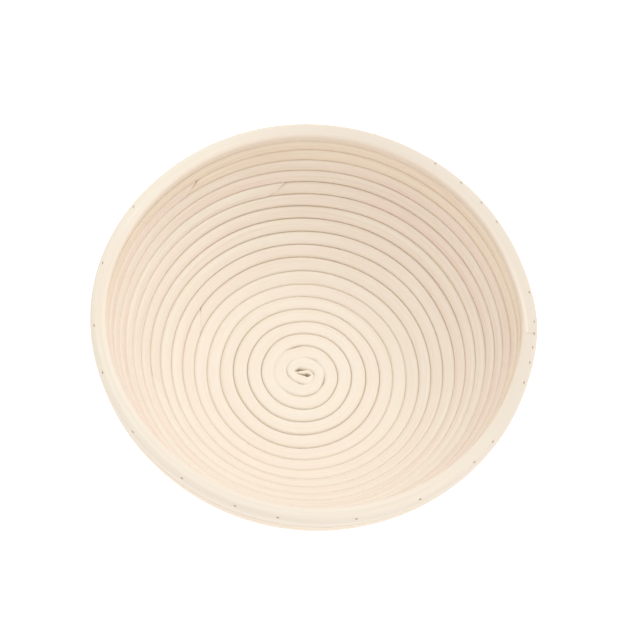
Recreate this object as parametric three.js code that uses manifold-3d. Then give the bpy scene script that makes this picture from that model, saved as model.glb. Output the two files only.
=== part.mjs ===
// Banneton proofing basket, in millimetres, +Z up, origin at the middle of the base on the surface it rests on.
// Rattan cane is wound clockwise, seen from above, from the middle of the floor up to the brim. The coil is made
// of several lengths joined by slanting splices, each turn is nailed to the one before it, and a level rim hoop
// with a long lap joint closes the top.
import * as THREE from "three";
import { mergeVertices } from "three/addons/utils/BufferGeometryUtils.js";
import Module from "manifold-3d";

// Coil cane: a rounded section, drawn as an octagon
const caneWidth = 7.0; // across, from one turn to the next
const caneThickness = 8.0; // through the wall, from inside to outside
const caneCornerAcross = 2.0;
const caneCornerThrough = 2.6;

// Bowl profile: how many turns lie flat, and how steeply the later turns climb
const startRadius = 2.0; // middle of the cane at the very start of the coil
const floorTurns = 5.5;
const heelTurns = 2.5;
const heelSlope = 29; // degrees, where the rounded heel ends
const coilTurns = 19; // full turns under the rim
const brimTurns = 1; // turns below the rim at which the wall has steepened to the brim slope
const brimSlope = 75;
const topSlope = 84; // degrees, on the last full turn

// Splices between the lengths of the coil, in turns below the rim
const spliceTurns = [10.73, 7.85, 4.58, 1.65];
const startInnerRadius = 0.7; // the cane is shaved on its inner side where it starts

// Rim hoop
const rimHeight = 7.2;
const rimWidth = 7.0;
const rimCorner = 2.1;
const rimLapDegrees = 70; // length of the lap where the hoop's ends meet
const rimLapStart = 76; // degrees anticlockwise from +X, where the lap's lower end begins

// Nails: plain pins between the turns of the coil, and flat-headed brads in the rim
const nailRadius = 0.6;
const nailHeadRadius = 1.0;
const nailHeadHeight = 0.5;
const nailPointLength = 1.2;
const nailSink = 0.2; // how far a nail's top lies below the cane around it
const nailSides = 5;
const coilNailLength = 10.4;
const rimNailLength = 10.2;
const rimNailDrop = 0.8; // how far down the rim's bevelled outer shoulder the nails go in, as a part of it
const nailSpacing = 36; // along the coil
const nailRoom = 5; // sideways, between a nail and those of the turn before
const firstNailTurn = 1.1;
const coilNailCount = 20;
const spliceNailOffset = 1.6; // steps from the middle of a splice to the nail on either side of it
// Rim nails, in degrees from +X: spaced by eye round the hoop, closer along the lap, closest at its thin end
const frontNails = [-151.5, -133.5, -116, -101, -90, -70.5, -53.5, -36];
const backNails = [82, 101, 120, 139, 157.5, 176.5, -165];
const lapNails = [63.5, 54.5, 46.5, 39.5];
const lapEndNails = [-28.5, -9.5, -3.5, 1, 5, 8.5, 17];

// Clearances and detail
const gap = 0.3; // between pieces that touch
const tip = 0.5; // thickness left at the thin end of a splice, a lap or the coil's tail
const stepsPerTurn = 26;
const slopeSamples = 40; // per turn, for working out the profile

const wasm = await Module();
wasm.setup();
const degrees = Math.PI / 180;
const caneMaterial = new THREE.MeshStandardMaterial({ color: 0xe9d6bb, roughness: 0.8, metalness: 0 });
const rimMaterial = new THREE.MeshStandardMaterial({ color: 0xe6d9bd, roughness: 0.75, metalness: 0 });
const steelMaterial = new THREE.MeshStandardMaterial({ color: 0x6f655a, roughness: 0.5, metalness: 1 });

// Half of the flat side on which neighbouring turns bear
const sideFlat = caneThickness / 2 - caneCornerThrough;
const heelTurn = floorTurns + heelTurns;
const slopeStops = [
  [0, 0],
  [floorTurns, 0],
  [heelTurn, heelSlope * degrees],
  [coilTurns - brimTurns, brimSlope * degrees],
  [coilTurns, topSlope * degrees],
  [coilTurns + 1, topSlope * degrees],
];

// Slope of the wall at a turn, and how fast it changes from turn to turn
function slopeAt(turn) {
  const last = slopeStops.length - 1;
  let i = 1;
  while (i < last && turn > slopeStops[i][0]) {
    i += 1;
  }
  const [t0, s0] = slopeStops[i - 1];
  const [t1, s1] = slopeStops[i];
  const rate = (s1 - s0) / (t1 - t0);
  return { slope: s0 + rate * (turn - t0), rate };
}

// The middle of the cane at every sample, found by adding up small steps along the slope. Turns stand a little
// further apart where the wall bends, so that their inner corners stay clear of each other.
function traceProfile() {
  const samples = [{ radius: startRadius, height: caneThickness / 2 }];
  const count = (coilTurns + 1) * slopeSamples;
  for (let i = 0; i < count; i += 1) {
    const { slope, rate } = slopeAt((i + 0.5) / slopeSamples);
    const pitch = caneWidth + gap + sideFlat * rate;
    const { radius, height } = samples[i];
    samples.push({
      radius: radius + (Math.cos(slope) * pitch) / slopeSamples,
      height: height + (Math.sin(slope) * pitch) / slopeSamples,
    });
  }
  return samples;
}

const profile = traceProfile();

function profileAt(turn) {
  const at = Math.min(turn * slopeSamples, profile.length - 1.001);
  const i = Math.floor(at);
  const part = at - i;
  return {
    radius: THREE.MathUtils.lerp(profile[i].radius, profile[i + 1].radius, part),
    height: THREE.MathUtils.lerp(profile[i].height, profile[i + 1].height, part),
    slope: slopeAt(turn).slope,
  };
}

// The coil starts at the front and runs clockwise
const coilAzimuth = (turn) => -Math.PI / 2 - 2 * Math.PI * turn;
const rimBottom = profileAt(coilTurns).height + gap / 2;
const rimRadius = profileAt(coilTurns).radius;

// Axes of the section at a place: across to the next turn, and through the wall to the inside
function axesAt(azimuth, slope) {
  const outward = new THREE.Vector3(Math.cos(azimuth), Math.sin(azimuth), 0);
  const up = new THREE.Vector3(0, 0, 1);
  const across = outward.clone().multiplyScalar(Math.cos(slope)).addScaledVector(up, Math.sin(slope));
  const through = outward.clone().multiplyScalar(-Math.sin(slope)).addScaledVector(up, Math.cos(slope));
  return { outward, across, through };
}

function coilPlace(turn) {
  const { radius, height, slope } = profileAt(turn);
  const axes = axesAt(coilAzimuth(turn), slope);
  const centre = axes.outward.clone().multiplyScalar(radius).setZ(height);
  return { centre, ...axes };
}

function rimPlace(turn) {
  const azimuth = (rimLapStart - 360 * turn) * degrees;
  const axes = axesAt(azimuth, Math.PI / 2);
  const centre = axes.outward.clone().multiplyScalar(rimRadius).setZ(rimBottom + rimHeight / 2);
  return { centre, ...axes };
}

// A run of cane: its frame at each step carries how much of the section is left between two cuts
class CaneRun extends THREE.Curve {
  constructor(firstStep, lastStep, width, placeAt, spanAt) {
    super();
    Object.assign(this, { firstStep, lastStep, width, placeAt, spanAt });
  }

  stationAt(t) {
    const step = Math.round(THREE.MathUtils.lerp(this.firstStep, this.lastStep, t));
    return { ...this.placeAt(step / stepsPerTurn), span: this.spanAt(step) };
  }

  getPoint(t) {
    const { centre, across, span } = this.stationAt(t);
    return centre.clone().addScaledVector(across, (span[0] + span[1]) / 2);
  }

  getPointAt(t) {
    return this.getPoint(t);
  }

  computeFrenetFrames(segments) {
    const frames = { tangents: [], normals: [], binormals: [] };
    for (let i = 0; i <= segments; i += 1) {
      const { across, through, span } = this.stationAt(i / segments);
      frames.tangents.push(across.clone().cross(through));
      frames.normals.push(across.clone().multiplyScalar((span[1] - span[0]) / this.width));
      frames.binormals.push(through);
    }
    return frames;
  }

  solid(section) {
    const steps = this.lastStep - this.firstStep;
    return toSolid(new THREE.ExtrudeGeometry(section, { steps, extrudePath: this, bevelEnabled: false }));
  }
}

function octagon(width, thickness, cornerAcross, cornerThrough) {
  const x = width / 2;
  const y = thickness / 2;
  return new THREE.Shape([
    new THREE.Vector2(x, -y + cornerThrough),
    new THREE.Vector2(x, y - cornerThrough),
    new THREE.Vector2(x - cornerAcross, y),
    new THREE.Vector2(-x + cornerAcross, y),
    new THREE.Vector2(-x, y - cornerThrough),
    new THREE.Vector2(-x, -y + cornerThrough),
    new THREE.Vector2(-x + cornerAcross, -y),
    new THREE.Vector2(x - cornerAcross, -y),
  ]);
}

function toSolid(geometry) {
  geometry.deleteAttribute("normal");
  geometry.deleteAttribute("uv");
  const merged = mergeVertices(geometry, 1e-4);
  const vertProperties = new Float32Array(merged.attributes.position.array);
  const triVerts = new Uint32Array(merged.index.array);
  return new wasm.Manifold(new wasm.Mesh({ numProp: 3, vertProperties, triVerts }));
}

function toGeometry(solid) {
  const mesh = solid.getMesh();
  const geometry = new THREE.BufferGeometry();
  geometry.setAttribute("position", new THREE.BufferAttribute(new Float32Array(mesh.vertProperties), 3));
  geometry.setIndex(new THREE.BufferAttribute(new Uint32Array(mesh.triVerts), 1));
  geometry.computeVertexNormals();
  return geometry;
}

// Height of a slanting cut across the section, part of the way along it
function cutAt(width, part) {
  return THREE.MathUtils.lerp(-width / 2 + tip, width / 2 - tip - gap, part);
}

// The coil's last turn is shaved level under the rim
function tailTop(step) {
  const { height, slope } = profileAt(step / stepsPerTurn);
  const room = rimBottom - gap - height - sideFlat * Math.abs(Math.cos(slope));
  return Math.min(caneWidth / 2, room / Math.sin(slope));
}

function lastTailStep() {
  let step = Math.round(coilTurns * stepsPerTurn);
  while (tailTop(step + 1) > -caneWidth / 2 + tip) {
    step += 1;
  }
  return step;
}

const spliceSteps = spliceTurns.map((turn) => Math.round((coilTurns - turn) * stepsPerTurn));

// Part of the section left at a step of the coil's length number i
function coilSpan(i, step) {
  const span = [-caneWidth / 2, caneWidth / 2];
  const { radius } = profileAt(step / stepsPerTurn);
  if (step < stepsPerTurn) {
    span[0] = Math.max(span[0], startInnerRadius - radius);
  }
  if (i > 0 && step <= spliceSteps[i - 1] + 1) {
    span[1] = cutAt(caneWidth, step - spliceSteps[i - 1]);
  }
  if (i < spliceSteps.length && step >= spliceSteps[i]) {
    span[0] = cutAt(caneWidth, step - spliceSteps[i]) + gap;
  }
  if (i === spliceSteps.length) {
    span[1] = Math.min(span[1], tailTop(step));
  }
  return span;
}

function coilLengths() {
  const section = octagon(caneWidth, caneThickness, caneCornerAcross, caneCornerThrough);
  const names = ["floor_cane", "lower_wall_cane", "middle_wall_cane", "upper_wall_cane", "top_cane"];
  return names.map((name, i) => {
    const firstStep = i === 0 ? 0 : spliceSteps[i - 1];
    const lastStep = i === spliceSteps.length ? lastTailStep() : spliceSteps[i] + 1;
    const run = new CaneRun(firstStep, lastStep, caneWidth, coilPlace, (step) => coilSpan(i, step));
    return { name, solid: run.solid(section), material: caneMaterial };
  });
}

const lapSteps = Math.round((rimLapDegrees / 360) * stepsPerTurn);

function rimSpan(step) {
  const span = [-rimHeight / 2, rimHeight / 2];
  if (step <= lapSteps) {
    span[1] = cutAt(rimHeight, step / lapSteps);
  }
  if (step >= stepsPerTurn) {
    span[0] = cutAt(rimHeight, (step - stepsPerTurn) / lapSteps) + gap;
  }
  return span;
}

function rimHoop() {
  const section = octagon(rimHeight, rimWidth, rimCorner, rimCorner);
  const run = new CaneRun(0, stepsPerTurn + lapSteps, rimHeight, rimPlace, rimSpan);
  return { name: "rim_hoop", solid: run.solid(section), material: rimMaterial };
}

// A nail along -Y, with its top at the origin
function nailGeometry({ length, headed }) {
  const point = [[0, -length], [nailRadius, -length + nailPointLength]];
  const head = [[nailRadius, -nailHeadHeight], [nailHeadRadius, -nailHeadHeight], [nailHeadRadius, 0]];
  const outline = [...point, ...(headed ? head : [[nailRadius, 0]]), [0, 0]];
  return new THREE.LatheGeometry(outline.map(([x, y]) => new THREE.Vector2(x, y)), nailSides);
}

// A round cutter along Y between two heights, placed where the nail is
function cutter(radius, bottom, top, nail) {
  const geometry = new THREE.CylinderGeometry(radius, radius, top - bottom, nailSides);
  geometry.translate(0, (top + bottom) / 2, 0);
  return toSolid(geometry.applyMatrix4(nail.matrix));
}

// The hole that a nail sits in, with room round it, and a wider mouth where it has a head
function drill(solid, nail) {
  const hole = cutter(nailRadius + gap, -nail.length - gap, nail.mouthRise, nail);
  if (!nail.headed) {
    return solid.subtract(hole);
  }
  return solid.subtract(hole.add(cutter(nailHeadRadius + gap, -nailHeadHeight - gap, nail.mouthRise, nail)));
}

function aim(head, direction) {
  const turnTo = new THREE.Quaternion().setFromUnitVectors(new THREE.Vector3(0, -1, 0), direction);
  return new THREE.Matrix4().compose(head, turnTo, new THREE.Vector3(1, 1, 1));
}

// A nail driven from the outer side of a turn into the turn before it
function coilNail(name, turn) {
  const { centre, across } = coilPlace(turn);
  const head = centre.clone().addScaledVector(across, caneWidth / 2 - nailSink);
  const matrix = aim(head, across.clone().negate());
  return { name, length: coilNailLength, headed: false, mouthRise: nailSink + gap / 2, matrix };
}

// A nail driven from the rim's outer shoulder down into the coil's top turn
function rimNail(name, angle) {
  const outward = new THREE.Vector3(Math.cos(angle * degrees), Math.sin(angle * degrees), 0);
  const head = outward.clone().multiplyScalar(rimRadius + rimWidth / 2 - (1 - rimNailDrop) * rimCorner);
  head.setZ(rimBottom + rimHeight - rimNailDrop * rimCorner);
  const target = outward.clone().multiplyScalar(rimRadius).setZ(rimBottom - caneWidth / 2);
  const direction = target.sub(head).normalize();
  head.addScaledVector(direction, nailSink);
  return { name, length: rimNailLength, headed: true, mouthRise: rimCorner, matrix: aim(head, direction) };
}

const numbered = (name, i) => `${name}_${String(i + 1).padStart(2, "0")}`;

// Turns taken up by a distance along the coil
const turnsFor = (distance, turn) => distance / (2 * Math.PI * profileAt(turn).radius);

// True where a nail would meet another in its own turn or a neighbouring one
function meets(turn, other) {
  const apart = turn - other;
  const whole = Math.round(apart);
  return Math.abs(whole) <= 1 && Math.abs(apart - whole) < turnsFor(nailRoom, turn);
}

// One nail on either side of each splice
const spliceNailTurns = spliceSteps.flatMap((step) =>
  [-spliceNailOffset, spliceNailOffset].map((offset) => (step + 0.5 + offset) / stepsPerTurn),
);

// Nails every so far along the coil, starting near the middle of the floor, moved on where they would meet
function coilNails() {
  const turns = [];
  let turn = firstNailTurn;
  while (turns.length < coilNailCount) {
    while ([...spliceNailTurns, ...turns].some((other) => meets(turn, other))) {
      turn += turnsFor(nailRoom / 2, turn);
    }
    turns.push(turn);
    turn += turnsFor(nailSpacing, turn);
  }
  return turns.map((at, i) => coilNail(numbered("coil_nail", i), at));
}

function rimNails() {
  const angles = [...frontNails, ...backNails, ...lapNails, ...lapEndNails];
  return angles.map((angle, i) => rimNail(numbered("rim_nail", i), angle));
}

const spliceNails = spliceNailTurns.map((turn, i) => coilNail(numbered("splice_nail", i), turn));
const nails = [...coilNails(), ...spliceNails, ...rimNails()];
const canes = [...coilLengths(), rimHoop()];
const group = new THREE.Group();
for (const { name, solid, material } of canes) {
  const drilled = nails.reduce((cane, nail) => drill(cane, nail), solid);
  const mesh = new THREE.Mesh(toGeometry(drilled), material);
  mesh.name = name;
  group.add(mesh);
}
for (const nail of nails) {
  const mesh = new THREE.Mesh(nailGeometry(nail), steelMaterial);
  mesh.name = nail.name;
  mesh.applyMatrix4(nail.matrix);
  group.add(mesh);
}
export default group;
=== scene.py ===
"""Looks of a round proofing basket of coiled rattan cane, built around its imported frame.

Every size is in metres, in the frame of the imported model: +Z up, the origin in the middle of the base. A
turn is one full round of the coil, counted from its start in the middle of the floor. The coil runs
clockwise, seen from above.
"""

import logging
import math
from dataclasses import dataclass, field
from enum import Enum

import bpy
import numpy as np
from mathutils import Matrix, Vector

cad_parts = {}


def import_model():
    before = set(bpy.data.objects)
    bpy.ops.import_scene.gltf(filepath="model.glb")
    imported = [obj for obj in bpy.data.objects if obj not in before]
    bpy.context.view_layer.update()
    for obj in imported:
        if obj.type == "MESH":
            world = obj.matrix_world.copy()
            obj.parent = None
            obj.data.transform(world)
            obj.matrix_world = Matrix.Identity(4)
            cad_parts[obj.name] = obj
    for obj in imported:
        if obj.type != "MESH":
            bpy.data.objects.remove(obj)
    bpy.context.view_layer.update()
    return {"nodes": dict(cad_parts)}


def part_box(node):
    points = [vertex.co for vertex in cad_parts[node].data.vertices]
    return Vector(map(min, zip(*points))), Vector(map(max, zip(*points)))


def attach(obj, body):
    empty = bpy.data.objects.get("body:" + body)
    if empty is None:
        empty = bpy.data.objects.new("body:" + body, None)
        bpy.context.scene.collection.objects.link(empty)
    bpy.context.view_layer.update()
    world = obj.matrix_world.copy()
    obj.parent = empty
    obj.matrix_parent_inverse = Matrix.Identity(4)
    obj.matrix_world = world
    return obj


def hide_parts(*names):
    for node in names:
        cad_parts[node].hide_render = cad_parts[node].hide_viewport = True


LOG = logging.getLogger("basket")
MM = 0.001
CANE_UV = "cane"
SECTION_GIRTH = 27.0 * MM  # nominal distance round a cane's section
SMOOTH_ANGLE = 40  # degrees, the sharpest bend of a cane that still looks smooth
SHADED_SIDE_AZIMUTH = math.radians(40)  # towards the right and back of the basket, the side towards the key lamp, where the hoop gets painted shade
OUTLINE_STEPS = 1441  # how finely a section's outline is measured
Colour = tuple[float, float, float]
Place = tuple[float, float, float]
Range = tuple[float, float]
Socket = bpy.types.NodeSocket
Stations = tuple[np.ndarray, np.ndarray, np.ndarray, np.ndarray]


class Slot(Enum):
    """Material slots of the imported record."""

    CANE = "rattan_cane"
    RIM = "rim_cane"
    STEEL = "nail_steel"


# ---------------------------------------------------------------- shared helpers


def deselect_all() -> None:
    """Leave edit mode if it is on, and deselect every object."""
    if bpy.context.object is not None and bpy.context.object.mode != "OBJECT":
        bpy.ops.object.mode_set(mode="OBJECT")
    bpy.ops.object.select_all(action="DESELECT")


def make_active(piece: bpy.types.Object) -> None:
    """Select one object alone and make it active.

    Args:
        piece: The object to work on.
    """
    deselect_all()
    piece.select_set(True)
    bpy.context.view_layer.objects.active = piece


def apply_modifier(piece: bpy.types.Object, name: str) -> None:
    """Apply one modifier of a piece.

    Args:
        piece: The object that has the modifier.
        name: The modifier's name.
    """
    make_active(piece)
    bpy.ops.object.modifier_apply(modifier=name)


def smooth(piece: bpy.types.Object, angle_degrees: float) -> None:
    """Shade a piece smooth, but keep edges sharper than an angle.

    Args:
        piece: The object to shade.
        angle_degrees: The sharpest angle that still looks smooth.
    """
    make_active(piece)
    bpy.ops.object.shade_smooth_by_angle(angle=math.radians(angle_degrees))


def join_pieces(pieces: list[bpy.types.Object]) -> bpy.types.Object:
    """Join several objects into the first of them and give it."""
    deselect_all()
    for piece in pieces:
        piece.select_set(True)
    bpy.context.view_layer.objects.active = pieces[0]
    bpy.ops.object.join()
    return bpy.context.object


def oval_rod(half_length: float, half_width: float, depth: float, rise: float, sides: int) -> bpy.types.Object:
    """Make an upright rod of oval section.

    Args:
        half_length: Its half size along X.
        half_width: Its half size along Y.
        depth: Its height.
        rise: Height of its middle.
        sides: How many sides it has.

    Returns:
        The rod.
    """
    deselect_all()
    bpy.ops.mesh.primitive_cylinder_add(vertices=sides, radius=1.0, depth=depth, location=(0, 0, rise))
    rod = bpy.context.object
    rod.scale = (half_length, half_width, 1)
    bpy.ops.object.transform_apply(location=True, rotation=False, scale=True)
    return rod


def along_nail(top: Vector, tip: Vector) -> Matrix:
    """Give the frame of a rim nail: Z out of its head, X level along the rim."""
    out = (top - tip).normalized()
    level = Vector((0, 0, 1)).cross(out).normalized()
    return Matrix.Translation(top) @ Matrix((level, out.cross(level), out)).transposed().to_4x4()


def finish_piece(piece: bpy.types.Object, name: str, material: bpy.types.Material) -> None:
    """Name a piece, dress it and fix it to the basket's one body.

    Args:
        piece: The finished object.
        name: Its name in the visual model.
        material: The material that it wears.
    """
    piece.name = name
    piece.data.name = name
    piece.data.materials.clear()
    piece.data.materials.append(material)
    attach(piece, "root")
    LOG.info("%s: %d faces", name, len(piece.data.polygons))


def running_sum(steps: np.ndarray) -> np.ndarray:
    """Add steps up from nothing, to one place more than there are steps."""
    return np.concatenate([[0], np.cumsum(steps)])


@dataclass(frozen=True)
class Wobble:
    """A small smooth unevenness along the cane, as a hand leaves it."""

    size: float
    waves: tuple[float, ...]
    seed: int

    def at(self, turns: np.ndarray) -> np.ndarray:
        """Give the unevenness at places along the coil.

        Args:
            turns: Places along the coil, in turns.

        Returns:
            An offset in metres for each place.
        """
        phases = np.random.default_rng(self.seed).uniform(0, 2 * math.pi, len(self.waves))
        total = sum(np.sin(2 * math.pi * turns * wave + phase) for wave, phase in zip(self.waves, phases))
        return self.size * total / math.sqrt(len(self.waves))


# ---------------------------------------------------------------- shape of the bowl


@dataclass
class BowlProfile:
    """How the coil's middle line runs from the floor up the wall."""

    cane_width: float = 7.0 * MM
    cane_thickness: float = 8.0 * MM
    side_flat: float = 1.4 * MM
    gap: float = 0.3 * MM
    start_radius: float = 2.0 * MM
    floor_turns: float = 5.5
    heel_turns: float = 2.5
    heel_slope: float = 29.0
    coil_turns: float = 19.0
    brim_turns: float = 1.0
    brim_slope: float = 75.0
    top_slope: float = 84.0
    samples_per_turn: int = 40
    turns: np.ndarray = field(init=False)
    radii: np.ndarray = field(init=False)
    heights: np.ndarray = field(init=False)

    def __post_init__(self) -> None:
        """Trace the middle line once."""
        step = 1 / self.samples_per_turn
        count = int((self.coil_turns + 1) * self.samples_per_turn)
        self.turns = np.arange(count + 1) * step
        middle = self.turns[:-1] + step / 2
        slope = self.slope(middle)
        rate = (self.slope(middle + step / 2) - self.slope(middle - step / 2)) / step
        pitch = self.cane_width + self.gap + self.side_flat * rate
        self.radii = self.start_radius + running_sum(np.cos(slope) * pitch * step)
        self.heights = self.cane_thickness / 2 + running_sum(np.sin(slope) * pitch * step)

    def slope(self, turns: np.ndarray) -> np.ndarray:
        """Slope of the wall at places along the coil, in radians."""
        heel = self.floor_turns + self.heel_turns
        stops = [0, self.floor_turns, heel, self.coil_turns - self.brim_turns, self.coil_turns]
        slopes = [0, 0, self.heel_slope, self.brim_slope, self.top_slope]
        return np.radians(np.interp(turns, stops, slopes))

    def radius(self, turns: np.ndarray) -> np.ndarray:
        """Distance of the cane's middle from the basket's axis."""
        return np.interp(turns, self.turns, self.radii)

    def height(self, turns: np.ndarray) -> np.ndarray:
        """Height of the cane's middle above the base."""
        return np.interp(turns, self.turns, self.heights)

    @property
    def rim_bottom(self) -> float:
        """Height of the rim hoop's underside."""
        return float(self.height(self.coil_turns)) + self.gap / 2

    @property
    def rim_radius(self) -> float:
        """Distance of the hoop's middle from the basket's axis."""
        return float(self.radius(self.coil_turns))


@dataclass(frozen=True)
class Bulge:
    """A place where the rim stands out of true, or in when its size is negative."""

    azimuth: float
    spread: float
    size: float


@dataclass(frozen=True)
class HandShape:
    """How far the rim and the last turns under it are from a true circle."""

    bulges: tuple[Bulge, ...] = (
        Bulge(8.0, 12.0, 1.4 * MM),
        Bulge(143.0, 28.0, -1.1 * MM),
        Bulge(192.0, 18.0, 0.5 * MM),
    )
    lean: tuple[float, float] = (0.5 * MM, -0.5 * MM)
    begins: float = 13.0
    full_at: float = 19.0

    def rim_offset(self, angle: np.ndarray) -> np.ndarray:
        """Offset of the rim at angles about the axis, in metres."""
        total = self.lean[0] * np.cos(angle) + self.lean[1] * np.sin(angle)
        for bulge in self.bulges:
            away = np.angle(np.exp(1j * (angle - math.radians(bulge.azimuth))))
            total += bulge.size * np.exp(-((away / math.radians(bulge.spread)) ** 2))
        return total

    def coil_offset(self, turns: np.ndarray, angle: np.ndarray) -> np.ndarray:
        """Offset of the coil, which follows the rim more and more towards the top."""
        share = np.clip((turns - self.begins) / (self.full_at - self.begins), 0, 1)
        return self.rim_offset(angle) * share**2


@dataclass
class Hook:
    """The tight fold in which the strand starts, flat on the floor.

    The thin tip lies against the first bend, curls round a small eye and widens into the full cane. Each row
    is a place of the cane's middle and its width there, in millimetres.
    """

    places: tuple[tuple[float, float, float], ...] = (
        (-3.9, 0.35, 0.8),
        (-0.6, 1.0, 2.1),
        (2.5, 1.8, 2.2),
        (4.85, 0.1, 2.0),
        (2.9, -3.2, 5.0),
        (-0.6, -3.1, 5.2),
        (-4.1, -2.2, 5.1),
        (-6.7, 0.9, 4.9),
        (-4.6, 5.1, 6.2),
        (-0.6, 6.3, 7.2),
        (5.2, 5.2, 6.6),
        (8.4, 1.0, 5.8),
        (6.8, -5.6, 6.6),
        (1.6, -9.2, 7.0),
        (-5.4, -8.3, 7.9),
        (-10.9, -4.4, 7.9),
        (-12.3, 1.6, 7.2),
        (-9.6, 8.2, 7.2),
    )
    joins_at: float = 1.47


# ---------------------------------------------------------------- materials


def new_group(name: str, inputs: dict[str, float], outputs: tuple[str, ...]) -> bpy.types.ShaderNodeTree:
    """Make an empty shader node group.

    Args:
        name: The group's name.
        inputs: The names and usual values of its number inputs.
        outputs: The names of its number outputs.

    Returns:
        The node tree, with one input and one output node in it.
    """
    tree = bpy.data.node_groups.new(name, "ShaderNodeTree")
    for label, value in inputs.items():
        socket = tree.interface.new_socket(label, in_out="INPUT", socket_type="NodeSocketFloat")
        socket.default_value = value
    for label in outputs:
        tree.interface.new_socket(label, in_out="OUTPUT", socket_type="NodeSocketFloat")
    tree.nodes.new("NodeGroupInput")
    tree.nodes.new("NodeGroupOutput")
    return tree


class NodeSheet:
    """Short ways to lay out and join the nodes of one tree."""

    def __init__(self, tree: bpy.types.ShaderNodeTree) -> None:
        """Work on one node tree."""
        self.tree = tree

    def add(self, kind: str, **values: object) -> bpy.types.Node:
        """Add a node and set its properties.

        Args:
            kind: The node's type name.
            **values: Properties of the node by name.

        Returns:
            The new node.
        """
        node = self.tree.nodes.new(kind)
        for key, value in values.items():
            setattr(node, key, value)
        return node

    def feed(self, socket: Socket, value: object) -> None:
        """Join a socket to another, or set its own value."""
        if isinstance(value, Socket):
            self.tree.links.new(value, socket)
        else:
            socket.default_value = value

    def math(self, operation: str, first: object, second: object = 0.0) -> Socket:
        """Do one sum on two numbers and give the answer's socket."""
        node = self.add("ShaderNodeMath", operation=operation)
        self.feed(node.inputs[0], first)
        self.feed(node.inputs[1], second)
        return node.outputs[0]

    def ramp(self, value: object, low: float, high: float, to_low: float = 0.0, to_high: float = 1.0) -> Socket:
        """Map a number smoothly from one range to another."""
        node = self.add("ShaderNodeMapRange", interpolation_type="SMOOTHSTEP")
        names = ("Value", "From Min", "From Max", "To Min", "To Max")
        for name, item in zip(names, (value, low, high, to_low, to_high)):
            self.feed(node.inputs[name], item)
        return node.outputs["Result"]

    def noise(self, vector: Socket, scale: float, detail: float = 2.0, rough: float = 0.5) -> Socket:
        """Give the socket of a noise value between 0 and 1."""
        node = self.add("ShaderNodeTexNoise", noise_dimensions="3D")
        names = ("Vector", "Scale", "Detail", "Roughness")
        for name, item in zip(names, (vector, scale, detail, rough)):
            self.feed(node.inputs[name], item)
        return node.outputs["Fac"]

    def mix(self, share: object, first: object, second: object) -> Socket:
        """Blend two colours and give the blend's socket."""
        node = self.add("ShaderNodeMix", data_type="RGBA", clamp_factor=True)
        self.feed(node.inputs["Factor"], share)
        self.feed(node.inputs[6], first)
        self.feed(node.inputs[7], second)
        return node.outputs[2]

    def bump(self, height: Socket, distance: float, strength: float = 1.0) -> Socket:
        """Give the normal of a surface with a relief."""
        node = self.add("ShaderNodeBump")
        self.feed(node.inputs["Strength"], strength)
        self.feed(node.inputs["Distance"], distance)
        self.feed(node.inputs["Height"], height)
        return node.outputs[0]


def new_material(name: str, **values: object) -> tuple[bpy.types.Material, NodeSheet, bpy.types.Node]:
    """Make a material with one principled shader.

    Args:
        name: The material's name.
        **values: The shader's inputs by name, with an underscore for each space.

    Returns:
        The material, its nodes and its shader.
    """
    material = bpy.data.materials.new(name)
    material.use_nodes = True
    shader = material.node_tree.nodes["Principled BSDF"]
    for key, value in values.items():
        shader.inputs[key.replace("_", " ")].default_value = value
    return material, NodeSheet(material.node_tree), shader


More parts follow.
